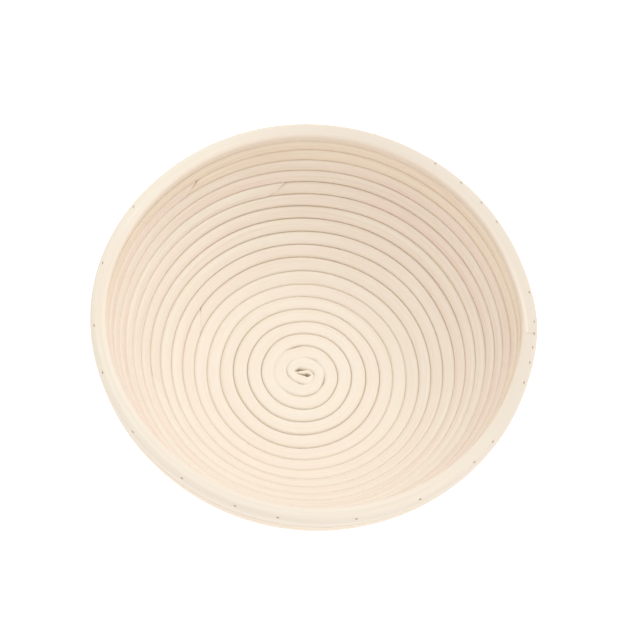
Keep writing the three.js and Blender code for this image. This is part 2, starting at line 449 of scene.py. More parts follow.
@dataclass(frozen=True)
class Grain:
    """The lengthwise fibre of peeled rattan, and masks of where a point lies on the cane.

    Each noise has a scale along the cane, a scale across it and a shift that keeps it apart from the others,
    and then its detail and its roughness. Each mask has the values at which it is 0 and 1. The masks place
    painted shade in the seams between turns, on the outer face and on the right and back side towards the key
    lamp, and painted light on the inner face.
    """

    noises: tuple[tuple[str, float, float, float, float, float], ...] = (
        ("Fibre", 45.0, 2600.0, 0.0, 3.0, 0.6),
        ("Streak", 14.0, 700.0, 11.0, 2.0, 0.5),
        ("Tone", 9.0, 60.0, 23.0, 2.0, 0.5),
        ("Patch", 26.0, 130.0, 37.0, 3.0, 0.55),
    )
    # the groove mask: painted shade in the seams, near the cane's sides where it meets the turns next to it
    groove: Range = (0.72, 0.95)
    # the outer mask: painted shade on the outer face
    outside: Range = (-0.45, -0.95)
    # the inner mask: painted light on the inner face, lifting its shade
    inside: Range = (0.35, 0.95)
    # the side mask, in metres towards the right and back: painted shade on the side towards the key lamp
    far: Range = (-10 * MM, 80 * MM)

    def build(self) -> bpy.types.ShaderNodeTree:
        """Build the shared group, which reads the cane's own UV map.

        Returns:
            A group that puts out the four noises and the masks of the painted groove shade, outer shade, inner
            light and shaded side, each from 0 to 1.
        """
        names = tuple(row[0] for row in self.noises)
        tree = new_group("cane grain", {"Seed": 0.0}, (*names, "Groove shade", "Outer shade", "Inside", "Shaded side"))
        sheet = NodeSheet(tree)
        seed = tree.nodes["Group Input"].outputs["Seed"]
        out = tree.nodes["Group Output"].inputs
        parts = sheet.add("ShaderNodeSeparateXYZ")
        sheet.feed(parts.inputs[0], sheet.add("ShaderNodeUVMap", uv_map=CANE_UV).outputs[0])
        along, around = parts.outputs[0], parts.outputs[1]
        for name, lengthwise, crosswise, shift, detail, rough in self.noises:
            place = sheet.add("ShaderNodeCombineXYZ")
            sheet.feed(place.inputs[0], sheet.math("MULTIPLY", along, lengthwise))
            sheet.feed(place.inputs[1], sheet.math("MULTIPLY", around, crosswise))
            sheet.feed(place.inputs[2], sheet.math("ADD", seed, shift))
            sheet.feed(out[name], sheet.noise(place.outputs[0], 1.0, detail, rough))
        # painted shade in the seams, where the section's sides meet the turns next to it
        angle = sheet.math("MULTIPLY", around, 2 * math.pi / SECTION_GIRTH)
        contact = sheet.math("ABSOLUTE", sheet.math("COSINE", angle))
        sheet.feed(out["Groove shade"], sheet.ramp(contact, *self.groove))
        through = sheet.math("SINE", angle)
        # painted shade on the outer face
        sheet.feed(out["Outer shade"], sheet.ramp(through, *self.outside))
        # painted light on the inner face
        sheet.feed(out["Inside"], sheet.ramp(through, *self.inside))
        # painted shade on the right and back side, towards the key lamp
        towards = sheet.add("ShaderNodeVectorMath", operation="DOT_PRODUCT")
        sheet.feed(towards.inputs[0], sheet.add("ShaderNodeTexCoord").outputs["Object"])
        sheet.feed(towards.inputs[1], (math.cos(SHADED_SIDE_AZIMUTH), math.sin(SHADED_SIDE_AZIMUTH), 0.0))
        sheet.feed(out["Shaded side"], sheet.ramp(towards.outputs["Value"], *self.far))
        return tree


@dataclass(frozen=True)
class CaneFinish:
    """Bare peeled rattan: matt, lengthwise fibre, with tints that drift along the cane. By place it gets
    painted shade in the seams, on the outer face and on the side towards the key lamp, and painted light on the
    inner face.

    A range is the noise's values between which its effect grows. A share is how much of a tint is laid on.
    """

    name: str
    cream: Colour
    peach: Colour
    straw: Colour
    # the groove tint draws the fibre lines and streaks, and at its share it is painted shade in the seams
    groove: Colour
    seed: float
    groove_shade_share: float = 0.55
    # painted shade on the outer face
    outside: Colour = (0.67, 0.57, 0.49)
    outer_shade_share: float = 0.6
    # painted light on the inner face, lifting its shade
    inside: Colour = (0.82, 0.715, 0.605)
    inner_light_share: float = 0.0
    # painted shade on the side towards the key lamp
    far: Colour = (0.685, 0.605, 0.51)
    shaded_side_share: float = 0.0
    tone_range: Range = (0.36, 0.66)
    patch_range: Range = (0.52, 0.76)
    patch_share: float = 0.75
    streak_range: Range = (0.35, 0.75)
    streak_share: float = 0.2
    line_range: Range = (0.52, 0.78)
    line_share: float = 0.22
    rough_range: Range = (0.3, 0.8)
    roughness: Range = (0.56, 0.76)
    specular: float = 0.35
    bump_strength: float = 0.6
    fibre_depth: float = 0.06 * MM
    streak_height: float = 0.8

    def colour(self, sheet: NodeSheet, out: bpy.types.bpy_prop_collection) -> Socket:
        """Lay the tints over each other, from the widest to the finest, and then the painted shade and light by
        place.

        Args:
            sheet: The material's nodes.
            out: What the grain group puts out.

        Returns:
            The socket of the colour.
        """
        blend = sheet.mix(sheet.ramp(out["Tone"], *self.tone_range), (*self.cream, 1), (*self.peach, 1))
        layers = (
            (sheet.ramp(out["Patch"], *self.patch_range, 0.0, self.patch_share), self.straw),
            # the groove tint also draws the streaks and fibre lines of the grain
            (sheet.ramp(out["Streak"], *self.streak_range, 0.0, self.streak_share), self.groove),
            (sheet.ramp(out["Fibre"], *self.line_range, 0.0, self.line_share), self.groove),
            # painted shade in the seams between turns
            (sheet.math("MULTIPLY", out["Groove shade"], self.groove_shade_share), self.groove),
            # painted shade on the outer face
            (sheet.math("MULTIPLY", out["Outer shade"], self.outer_shade_share), self.outside),
            # painted shade on the side towards the key lamp
            (sheet.math("MULTIPLY", out["Shaded side"], self.shaded_side_share), self.far),
            # painted light on the inner face
            (sheet.math("MULTIPLY", out["Inside"], self.inner_light_share), self.inside),
        )
        for share, tint in layers:
            blend = sheet.mix(share, blend, (*tint, 1))
        return blend

    def build(self, grain: bpy.types.ShaderNodeTree) -> bpy.types.Material:
        """Make the material.

        Args:
            grain: The shared grain group.

        Returns:
            The new material.
        """
        material, sheet, shader = new_material(self.name, Specular_IOR_Level=self.specular)
        fibre = sheet.add("ShaderNodeGroup", node_tree=grain)
        fibre.inputs["Seed"].default_value = self.seed
        out = fibre.outputs
        sheet.feed(shader.inputs["Base Color"], self.colour(sheet, out))
        rough = sheet.ramp(out["Fibre"], *self.rough_range, *self.roughness)
        sheet.feed(shader.inputs["Roughness"], rough)
        relief = sheet.math("ADD", out["Fibre"], sheet.math("MULTIPLY", out["Streak"], self.streak_height))
        sheet.feed(shader.inputs["Normal"], sheet.bump(relief, self.fibre_depth, self.bump_strength))
        return material


@dataclass(frozen=True)
class SteelFinish:
    """Dull wire nails with a little rust."""

    name: str = "nail steel"
    steel: Colour = (0.50, 0.44, 0.38)
    rust: Colour = (0.30, 0.18, 0.10)
    spot_scale: float = 1500.0
    spot_range: Range = (0.42, 0.62)
    scratch_scale: float = 5200.0
    scratch_range: Range = (0.3, 0.7)
    scratch_depth: float = 0.02 * MM
    roughness: Range = (0.38, 0.68)
    metal_range: Range = (0.2, 0.8)
    metallic: Range = (0.6, 0.1)

    def build(self) -> bpy.types.Material:
        """Make the material and give it."""
        material, sheet, shader = new_material(self.name)
        place = sheet.add("ShaderNodeTexCoord").outputs["Object"]
        spots = sheet.ramp(sheet.noise(place, self.spot_scale, 3.0, 0.6), *self.spot_range)
        scratch = sheet.noise(place, self.scratch_scale)
        sheet.feed(shader.inputs["Base Color"], sheet.mix(spots, (*self.steel, 1), (*self.rust, 1)))
        sheet.feed(shader.inputs["Roughness"], sheet.ramp(scratch, *self.scratch_range, *self.roughness))
        sheet.feed(shader.inputs["Metallic"], sheet.ramp(spots, *self.metal_range, *self.metallic))
        sheet.feed(shader.inputs["Normal"], sheet.bump(scratch, self.scratch_depth))
        return material


# ---------------------------------------------------------------- cane


@dataclass
class CaneBlank:
    """A straight length of cane before it is wound, divided into equal steps."""

    steps: int
    sides: int = 32

    def build(self) -> bpy.types.Object:
        """Extrude a ring by one step, repeat it along the length and close the ends.

        Returns:
            A closed tube along +X: one unit a step, one unit in radius.
        """
        deselect_all()
        bpy.ops.mesh.primitive_circle_add(vertices=self.sides, radius=1.0, rotation=(0, math.pi / 2, 0))
        blank = bpy.context.object
        bpy.ops.object.transform_apply(location=False, rotation=True, scale=False)
        bpy.ops.object.mode_set(mode="EDIT")
        bpy.ops.mesh.select_all(action="SELECT")
        bpy.ops.mesh.extrude_edges_move(TRANSFORM_OT_translate={"value": (1, 0, 0)})
        bpy.ops.object.mode_set(mode="OBJECT")
        array = blank.modifiers.new("steps", "ARRAY")
        array.count = self.steps
        array.use_relative_offset = False
        array.use_constant_offset = True
        array.constant_offset_displace = (1, 0, 0)
        array.use_merge_vertices = True
        array.merge_threshold = 0.01
        apply_modifier(blank, "steps")
        self.close_ends(blank)
        return blank

    def close_ends(self, blank: bpy.types.Object) -> None:
        """Fill the two open rings and turn all faces outwards.

        Args:
            blank: The open tube.
        """
        make_active(blank)
        bpy.ops.object.mode_set(mode="EDIT")
        bpy.ops.mesh.select_mode(type="EDGE")
        bpy.ops.mesh.select_all(action="DESELECT")
        bpy.ops.mesh.select_non_manifold()
        bpy.ops.mesh.edge_face_add()
        bpy.ops.mesh.select_all(action="SELECT")
        bpy.ops.mesh.normals_make_consistent(inside=False)
        bpy.ops.object.mode_set(mode="OBJECT")


@dataclass
class Section:
    """The cane's rounded-square section, with a gentle crown on its faces.

    Angles run round the section, 0 towards the next turn. Sizes are for half widths of one. The two low
    corners, the inner one first, can be squarer than the others.
    """

    squareness: float = 4.6
    low_squareness: tuple[float, float] | None = None
    crown: float = 0.06
    evenness: float = 0.5
    shaved_half: float = math.pi / 4

    def corner(self, across: np.ndarray, through: np.ndarray) -> np.ndarray:
        """Give the squareness of the corner in which each point lies."""
        inner, outer = self.low_squareness or (self.squareness, self.squareness)
        return np.where(across < 0, np.where(through < 0, outer, inner), self.squareness)

    def outline(self, angles: np.ndarray) -> tuple[np.ndarray, np.ndarray]:
        """Give the outline's places across and through the cane, each from -1 to 1."""
        power = 2 / self.corner(np.cos(angles), np.sin(angles))
        across = np.sign(np.cos(angles)) * np.abs(np.cos(angles)) ** power
        through = np.sign(np.sin(angles)) * np.abs(np.sin(angles)) ** power
        return across, through * (1 - self.crown * across**2)

    def travel(self, angles: np.ndarray) -> np.ndarray:
        """Give the distance round the outline as an angle that grows evenly with it."""
        dense = np.linspace(-math.pi, math.pi, OUTLINE_STEPS)
        across, through = self.outline(dense)
        reach = running_sum(np.hypot(np.diff(across), np.diff(through)))
        return np.interp(angles, dense, (reach / reach[-1] * 2 - 1) * math.pi)

    def spread(self, angles: np.ndarray) -> np.ndarray:
        """Move even angles so that the points lie more evenly along the outline."""
        dense = np.linspace(-math.pi, math.pi, OUTLINE_STEPS)
        return (1 - self.evenness) * angles + self.evenness * np.interp(angles, self.travel(dense), dense)

    def edge(self, place: np.ndarray, side: np.ndarray) -> np.ndarray:
        """Find the unsigned angle at places across the cane, on its inner (1) or outer (-1) side."""
        limit = 1 - 1e-4  # the outline is upright at its ends, so its angle is not sought there
        inside = np.clip(place, -limit, limit)
        power = self.corner(inside, side) / 2
        return np.arccos(np.sign(inside) * np.abs(inside) ** power)

    def shaved(self, angles: np.ndarray, low: np.ndarray, high: np.ndarray) -> tuple[np.ndarray, np.ndarray]:
        """Give the outline with a flat cut on one side.

        Args:
            angles: Angle of each point, from -pi to pi.
            low: Place of a cut below each point, under -1 for none.
            high: Place of a cut above each point, over 1 for none.

        Returns:
            Places across and through the cane.
        """
        size = np.abs(angles)
        side = np.where(angles < 0, -1, 1)
        across, through = self.outline(self.spread(angles))
        for is_high, cut in ((True, high), (False, low)):
            is_cut = cut < 1 if is_high else cut > -1
            away = size if is_high else math.pi - size
            start = self.edge(cut, side)
            room = math.pi - start if is_high else start
            arc = (away - self.shaved_half) / (math.pi - self.shaved_half) * room
            arc = start + arc if is_high else start - arc
            arc_across, arc_through = self.outline(np.clip(arc, 0, math.pi) * side)
            half = self.outline(start * side)[1]
            flat = away <= self.shaved_half + 1e-6  # a point right at the cut's edge belongs to the flat
            new_across = np.where(flat, cut, arc_across)
            new_through = np.where(flat, half * away / self.shaved_half, arc_through)
            across = np.where(is_cut, new_across, across)
            through = np.where(is_cut, new_through, through)
        return across, through


@dataclass
class Path:
    """Stations along a cane: its middle, the two directions of its section and how far it reaches in each.

    The section reaches from low to high, and what lies outside cut_low and cut_high is shaved off flat.
    """

    middle: np.ndarray
    across: np.ndarray
    through: np.ndarray
    low: np.ndarray
    high: np.ndarray
    half_through: np.ndarray
    cut_low: np.ndarray
    cut_high: np.ndarray
    distance: np.ndarray


def wound_cane(path: Path, section: Section) -> bpy.types.Object:
    """Bend a straight blank onto a path and give it its UV map.

    Args:
        path: One station for each ring of the blank.
        section: The section's shape.

    Returns:
        The wound mesh.
    """
    blank = CaneBlank(len(path.middle) - 1).build()
    mesh = blank.data
    flat = np.empty(len(mesh.vertices) * 3, np.float64)
    mesh.vertices.foreach_get("co", flat)
    flat = flat.reshape(-1, 3)
    ring = np.clip(np.rint(flat[:, 0]).astype(int), 0, len(path.middle) - 1)
    angle = np.arctan2(flat[:, 2], flat[:, 1])
    centre = (path.high + path.low) / 2
    half = (path.high - path.low) / 2
    low, high = (path.cut_low - centre) / half, (path.cut_high - centre) / half
    across, through = section.shaved(angle, low[ring], high[ring])
    reach = (centre[ring] + half[ring] * across)[:, None] * path.across[ring]
    reach += (path.half_through[ring] * through)[:, None] * path.through[ring]
    mesh.vertices.foreach_set("co", (path.middle[ring] + reach).astype(np.float32).ravel())
    write_uv(mesh, path.distance[ring], section.travel(section.spread(angle)))
    mesh.update()
    smooth(blank, SMOOTH_ANGLE)
    return blank


def write_uv(mesh: bpy.types.Mesh, distance: np.ndarray, angle: np.ndarray) -> None:
    """Store distance along the cane and round its section, both in metres.

    Args:
        mesh: The wound mesh.
        distance: Distance along the cane for each vertex.
        angle: Angle round the section for each vertex, from -pi to pi.
    """
    corners = np.empty(len(mesh.loops), np.int64)
    mesh.loops.foreach_get("vertex_index", corners)
    starts = np.empty(len(mesh.polygons), np.int64)
    totals = np.empty(len(mesh.polygons), np.int64)
    mesh.polygons.foreach_get("loop_start", starts)
    mesh.polygons.foreach_get("loop_total", totals)
    face = np.repeat(np.arange(len(mesh.polygons)), totals)
    turn = angle[corners] % (2 * math.pi)
    highest = np.maximum.reduceat(turn, starts)[face]
    on_side = totals[face] == 4
    over_seam = on_side & (highest > 1.5 * math.pi) & (turn < 0.5 * math.pi)
    turn = np.where(over_seam, turn + 2 * math.pi, turn)
    values = np.stack([distance[corners], turn / (2 * math.pi) * SECTION_GIRTH], axis=1)
    layer = mesh.uv_layers.new(name=CANE_UV)
    layer.data.foreach_set("uv", values.astype(np.float32).ravel())


@dataclass
class Splice:
    """A slanting joint between two lengths of the coil.

    The cut crosses the cane from its inner edge to its outer one. Each length ends where the width that the
    cut leaves of it is down to its stub.
    """

    turn: float
    length: float
    opening: float = 0.06 * MM
    early_stub: float = 0.25 * MM
    late_stub: float = 0.25 * MM


@dataclass
class Coil:
    """The five lengths of cane of the floor and the wall."""

    profile: BowlProfile
    shape: HandShape
    hook: Hook
    names: tuple[str, ...] = (
        "floor_cane",
        "lower_wall_cane",
        "middle_wall_cane",
        "upper_wall_cane",
        "top_cane",
    )
    splices: tuple[Splice, ...] = (
        Splice(turn=8.295, length=13 * MM),
        Splice(turn=11.185, length=15 * MM, opening=0.04 * MM, late_stub=0.7 * MM),
        Splice(turn=14.446, length=10 * MM, opening=0.07 * MM, early_stub=0.4 * MM),
        Splice(turn=17.368, length=9.0 * MM, opening=0.44 * MM, early_stub=1.1 * MM, late_stub=0.3 * MM),
    )
    steps_per_turn: int = 120
    hook_steps: int = 150
    squareness: tuple[float, ...] = (5.6, 5.0, 4.5, 4.3, 4.2)
    edge_wobble: Wobble = Wobble(0.20 * MM, (1.7, 2.9, 4.3, 6.1), 3)
    crown_wobble: Wobble = Wobble(0.14 * MM, (1.3, 2.3, 3.9, 5.3, 8.7), 8)
    face_wobble_share: float = 0.25
    thinnest_share: float = 0.9
    thinning_range: float = 60 * MM
    tail_end: float = 19.47
    tail_tip: float = 0.15 * MM
    squeeze: float = 0.03 * MM

    def azimuth(self, turns: np.ndarray) -> np.ndarray:
        """Angle about the axis at places along the coil."""
        return -math.pi / 2 - 2 * math.pi * turns

    def spiral(self, turns: np.ndarray) -> np.ndarray:
        """Middle of the cane at places along the coil."""
        angle = self.azimuth(turns)
        radius = self.profile.radius(turns) + self.shape.coil_offset(turns, angle)
        return np.stack([radius * np.cos(angle), radius * np.sin(angle), self.profile.height(turns)], axis=1)

    def frames(self, turns: np.ndarray, middle: np.ndarray) -> tuple[np.ndarray, np.ndarray]:
        """Directions of the section at places along the coil.

        Args:
            turns: Places along the coil.
            middle: The cane's middle there.

        Returns:
            The directions across and through the cane.
        """
        angle = np.arctan2(middle[:, 1], middle[:, 0])
        slope = self.profile.slope(turns)
        level = -np.sin(slope)
        inward = np.stack([level * np.cos(angle), level * np.sin(angle), np.cos(slope)], axis=1)
        ahead = np.gradient(middle, axis=0)
        ahead /= np.linalg.norm(ahead, axis=1)[:, None]
        across = np.cross(inward, ahead)
        across /= np.linalg.norm(across, axis=1)[:, None]
        return across, np.cross(ahead, across)

    def edges(self, turns: np.ndarray) -> tuple[np.ndarray, np.ndarray]:
        """How far the cane reaches to the turn before and to the next, with the hand's unevenness."""
        half = (self.profile.cane_width + self.profile.gap) / 2 + self.squeeze
        low = -half + self.edge_wobble.at(turns - 0.5)
        high = half + self.edge_wobble.at(turns + 0.5)
        return low, high

    def span(self, splice: Splice) -> float:
        """Length of a splice, in turns."""
        return splice.length / (2 * math.pi * float(self.profile.radius(splice.turn)))

    def cut(self, splice: Splice, turns: np.ndarray, low: np.ndarray, high: np.ndarray) -> np.ndarray:
        """Place of a splice's cut across the section, from low to high along its length."""
        part = (turns - splice.turn) / self.span(splice) + 0.5
        return low + (high - low) * part

    def length_range(self, index: int) -> tuple[float, float]:
        """First and last turn of one length, its slanting ends included."""
        first, last = self.hook.joins_at, self.tail_end
        if index > 0:
            splice = self.splices[index - 1]
            first = splice.turn - self.span(splice) * (0.5 - splice.late_stub / self.profile.cane_width)
        if index < len(self.splices):
            splice = self.splices[index]
            last = splice.turn + self.span(splice) * (0.5 - splice.early_stub / self.profile.cane_width)
        return first, last

    def path(self, index: int) -> Path:
        """Lay out one length of the coil.

        Args:
            index: Which length, from 0 at the middle of the floor.

        Returns:
            Its stations.
        """
        first, last = self.length_range(index)
        turns = np.linspace(first, last, int((last - first) * self.steps_per_turn) + 1)
        middle = self.spiral(turns)
        low, high = self.edges(turns)
        if index == 0:
            turns, middle, low, high = self.with_hook(turns, middle, low, high)
        across, through = self.frames(turns, middle)
        cut_low, cut_high = low - MM, high + MM
        if index > 0:
            splice = self.splices[index - 1]
            cut_high = np.minimum(cut_high, self.cut(splice, turns, low, high) - splice.opening / 2)
        if index < len(self.splices):
            splice = self.splices[index]
            cut_low = np.maximum(cut_low, self.cut(splice, turns, low, high) + splice.opening / 2)
        else:
            cut_high = np.minimum(cut_high, np.maximum(self.tail_room(turns), low + self.tail_tip))
        whole = self.profile.cane_thickness / 2
        half = whole + self.crown_wobble.at(turns) * self.face_wobble_share
        thinnest = self.thinnest_share
        half = half * np.clip(thinnest + (high - low) / self.thinning_range, thinnest, 1.0)
        middle = middle + through * (half - whole)[:, None]  # so that the outer face stays where it was
        distance = running_sum(np.linalg.norm(np.diff(middle, axis=0), axis=1))
        return Path(middle, across, through, low, high, half, cut_low, cut_high, distance)

    def tail_room(self, turns: np.ndarray) -> np.ndarray:
        """Room left under the rim hoop for the coil's tail."""
        slope = self.profile.slope(turns)
        room = self.profile.rim_bottom - self.profile.height(turns)
        return room / np.sin(slope)

    def with_hook(self, turns: np.ndarray, middle: np.ndarray, low: np.ndarray, high: np.ndarray) -> Stations:
        """Put the folded start in front of the first length.

        Args:
            turns: Places along the spiral part.
            middle: The cane's middle there.
            low: How far it reaches inwards.
            high: How far it reaches outwards.

        Returns:
            The same four with the hook's stations in front.
        """
        rows = np.array(self.hook.places)
        points = rows[:, :2] * MM
        joined = np.concatenate([points, middle[:3, :2]])
        widths = np.concatenate([rows[:, 2] * MM, (high - low)[:3]])
        curve, spread = through_points(joined, widths, self.hook_steps)
        count = len(curve)
        lead = np.column_stack([curve, np.full(count, self.profile.cane_thickness / 2)])
        early = np.linspace(-0.2, self.hook.joins_at, count, endpoint=False)
        return (
            np.concatenate([np.minimum(early, 1.0), turns]),
            np.concatenate([lead, middle]),
            np.concatenate([-spread / 2, low]),
            np.concatenate([spread / 2, high]),
        )

    def build(self, index: int) -> bpy.types.Object:
        """Make one length of cane.

        Args:
            index: Which length, from 0 at the middle of the floor.

        Returns:
            The wound mesh.
        """
        return wound_cane(self.path(index), Section(self.squareness[index]))


def through_points(
    points: np.ndarray, widths: np.ndarray, steps: int, fineness: int = 24
) -> tuple[np.ndarray, np.ndarray]:
    """Run one smooth curve through points, in even steps.

    Args:
        points: Places on a plane, the last three of them on the curve that follows.
        widths: A width at each place.
        steps: How many stations to make.
        fineness: In how many parts the curve between two points is measured.

    Returns:
        Stations up to the last point but two, and their widths.
    """
    rows = np.column_stack([points, widths])
    dense = []
    for i in range(len(rows) - 3):
        before = rows[max(i - 1, 0)]
        start, end, after = rows[i], rows[i + 1], rows[i + 2]
        t = np.linspace(0, 1, fineness, endpoint=False)[:, None]
        bend = 0.5 * (
            2 * start
            + (end - before) * t
            + (2 * before - 5 * start + 4 * end - after) * t**2
            + (3 * start - before - 3 * end + after) * t**3
        )
        dense.append(bend)
    dense.append(rows[-3:-2])
    line = np.concatenate(dense)
    reach = running_sum(np.linalg.norm(np.diff(line[:, :2], axis=0), axis=1))
    even = np.linspace(0, reach[-1], steps, endpoint=False)
    curve = np.column_stack([np.interp(even, reach, line[:, k]) for k in range(3)])
    return curve[:, :2], curve[:, 2]


@dataclass
class RimHoop:
    """The level hoop on top, its two ends lapped over each other."""

    profile: BowlProfile
    shape: HandShape
    height: float = 7.2 * MM
    width: float = 8.1 * MM
    lap_start: float = 80.0
    lap: float = 75.0
    steps_per_turn: int = 200
    stub: float = 0.3 * MM
    opening: float = 0.08 * MM
    outset: float = 0.1 * MM
    press: float = 0.12 * MM
    section: Section = field(default_factory=lambda: Section(3.1, (4.0, 14.0), 0.02))
    nail_radius: float = 3.08 * MM
    nail_azimuths: tuple[float, ...] = (0.0, 64.0, 82.0, 139.0, 157.0, 195.0, 226.0, 290.0, 324.0)
    nail_places: tuple[float, ...] = (1.5, 1.3, 3.3, 3.3, 1.4, 1.6, 3.3, 3.1, 2.3)
    nail_sink: float = 0.12 * MM
    dent_half_length: float = 0.75 * MM
    dent_half_width: float = 0.36 * MM
    dent_depth: float = 0.1 * MM
    dent_reach: float = 4 * MM
    dent_sides: int = 20

    def path(self) -> Path:
        """Lay out the hoop from the lower end of the lap, clockwise round to its upper end."""
        lap_turns = self.lap / 360
        turns = np.linspace(0, 1 + lap_turns, int((1 + lap_turns) * self.steps_per_turn) + 1)
        angle = math.radians(self.lap_start) - 2 * math.pi * turns
        outward = np.stack([np.cos(angle), np.sin(angle), 0 * angle], axis=1)
        up = np.tile([0.0, 0.0, 1.0], (len(turns), 1))
        radius = self.profile.rim_radius + self.outset + self.shape.rim_offset(angle)
        middle = outward * radius[:, None]
        middle[:, 2] = self.profile.rim_bottom + self.height / 2
        half = self.height / 2
        low = np.full(len(turns), -half - self.press)
        high = np.full(len(turns), half)
        run = self.height - 2 * self.stub
        rising = -half + self.stub + run * turns / lap_turns - self.opening / 2
        falling = -half + self.stub + run * (turns - 1) / lap_turns + self.opening / 2
        cut_high = np.where(turns < lap_turns, rising, half + MM)
        cut_low = np.where(turns > 1, falling, -half - MM)
        across, through = up, -outward
        distance = turns * 2 * math.pi * self.profile.rim_radius
        thick = np.full(len(turns), self.width / 2)
        return Path(middle, across, through, low, high, thick, cut_low, cut_high, distance)

    def nail_shift(self, angle: float) -> float:
        """Give how far a nail moves outwards from its packed place.

        The nails stand on the hoop's outer shoulder in front, and higher up on it at the sides.

        Args:
            angle: Where the nail is about the basket's axis.

        Returns:
            The shift in metres.
        """
        place = float(np.interp(math.degrees(angle), self.nail_azimuths, self.nail_places, period=360)) * MM
        return self.outset + float(self.shape.rim_offset(np.array(angle))) + place - self.nail_radius

    def nail_axis(self, node: bpy.types.Object) -> tuple[Vector, Vector]:
        """Find a nail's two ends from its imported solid, and move them to where it stands in the hoop.

        Args:
            node: The nail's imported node.

        Returns:
            The middle of its top, on the hoop's surface, and its point.
        """
        points = np.array([vertex.co for vertex in node.data.vertices])
        centre = points.mean(0)
        axis = np.linalg.svd(points - centre, full_matrices=False)[2][0]
        places = (points - centre) @ axis
        off = np.linalg.norm(np.cross(points - centre, axis), axis=1)
        close = 0.02 * MM
        ends = []
        for place in (places.min(), places.max()):
            ends.append((off[np.abs(places - place) < close].max(), centre + axis * place))
        (_, tip), (_, top) = sorted(ends, key=lambda end: end[0])
        angle = math.atan2(top[1], top[0])
        shift = Vector((math.cos(angle), math.sin(angle), 0)) * self.nail_shift(angle)
        tip = Vector(tip) + shift
        return self.seat(Vector(top) + shift, tip), tip

    def seat(self, top: Vector, tip: Vector) -> Vector:
        """Find where a nail's axis leaves the hoop.

        Args:
            top: A point near the nail's head.
            tip: The nail's point.

        Returns:
            The place on the hoop's surface.
        """
        out = np.array((top - tip).normalized())
        search = np.arange(-2.0, 4.0, 0.02) * MM
        places = np.array(top) + search[:, None] * out
        angle = np.arctan2(places[:, 1], places[:, 0])
        middle = self.profile.rim_radius + self.outset + self.shape.rim_offset(angle)
        through = (np.hypot(places[:, 0], places[:, 1]) - middle) / (self.width / 2)
        across = (places[:, 2] - self.profile.rim_bottom) / (self.height / 2) - 1
        power = self.section.squareness
        inside = np.abs(through) ** power + np.abs(across) ** power < 1
        return Vector(places[np.flatnonzero(inside)[-1]])

    def build(self) -> bpy.types.Object:
        """Make the hoop."""
        return wound_cane(self.path(), self.section)

    def press_dents(self, hoop: bpy.types.Object, seats: list[tuple[Vector, Vector]]) -> None:
        """Press a small dent into the hoop for each nail's head.

        Args:
            hoop: The wound hoop.
            seats: The top and the point of each nail.
        """
        dents = []
        for top, tip in seats:
            reach = self.dent_reach
            dent = oval_rod(self.dent_half_length, self.dent_half_width, reach, reach / 2, self.dent_sides)
            floor = top + (tip - top).normalized() * (self.nail_sink + self.dent_depth)
            dent.data.transform(along_nail(floor, tip))
            dents.append(dent)
        cutter = join_pieces(dents)
        sinking = hoop.modifiers.new("dents", "BOOLEAN")
        sinking.operation = "DIFFERENCE"
        sinking.solver = "EXACT"
        sinking.object = cutter
        apply_modifier(hoop, "dents")
        bpy.data.objects.remove(cutter, do_unlink=True)
        smooth(hoop, SMOOTH_ANGLE)


# ---------------------------------------------------------------- nails


@dataclass
class Brad:
    """A narrow-headed nail, seen only by its head."""

    head_half_length: float = 0.68 * MM
    head_half_width: float = 0.29 * MM
    head_height: float = 0.5 * MM
    point_length: float = 1.2 * MM
    shank_share: float = 0.6
    point_share: float = 0.12
    face_inset: float = 0.1 * MM
    face_rise: float = 0.06 * MM
    sides: int = 16

    def build(self, top: Vector, tip: Vector) -> bpy.types.Object:
        """Make a nail between two points.

        Args:
            top: Middle of the head's face.
            tip: The nail's point.

        Returns:
            The finished mesh.
        """
        length = (tip - top).length
        shank = length - self.head_height - self.point_length
        head = self.head_height
        nail = oval_rod(self.head_half_length, self.head_half_width, head, -head / 2, self.sides)
        bpy.ops.object.mode_set(mode="EDIT")
        self.pick_face(nail, -1)
        bpy.ops.mesh.extrude_region_move()
        bpy.ops.transform.resize(value=(self.shank_share, self.shank_share, 1), center_override=(0, 0, 0))
        bpy.ops.mesh.extrude_region_move(TRANSFORM_OT_translate={"value": (0, 0, -shank)})
        bpy.ops.mesh.extrude_region_move(TRANSFORM_OT_translate={"value": (0, 0, -self.point_length)})
        bpy.ops.transform.resize(
            value=(self.point_share, self.point_share, 1), center_override=(0, 0, -length)
        )
        self.pick_face(nail, 1)
        bpy.ops.mesh.inset(thickness=self.face_inset)
        bpy.ops.transform.translate(value=(0, 0, self.face_rise))
        bpy.ops.object.mode_set(mode="OBJECT")
        nail.data.transform(along_nail(top, tip))
        return nail

    def pick_face(self, nail: bpy.types.Object, side: int) -> None:
        """Select only the end face on one side, in edit mode.

        Args:
            nail: The nail, along Z.
            side: 1 for the head's face, -1 for the far end.
        """
        bpy.ops.mesh.select_mode(type="FACE")
        bpy.ops.mesh.select_all(action="DESELECT")
        bpy.ops.object.mode_set(mode="OBJECT")
        ends = [face for face in nail.data.polygons if face.normal.z * side > 0.99]  # faces across the nail
        best = max(ends, key=lambda face: face.center.z * side)
        best.select = True
        bpy.ops.object.mode_set(mode="EDIT")


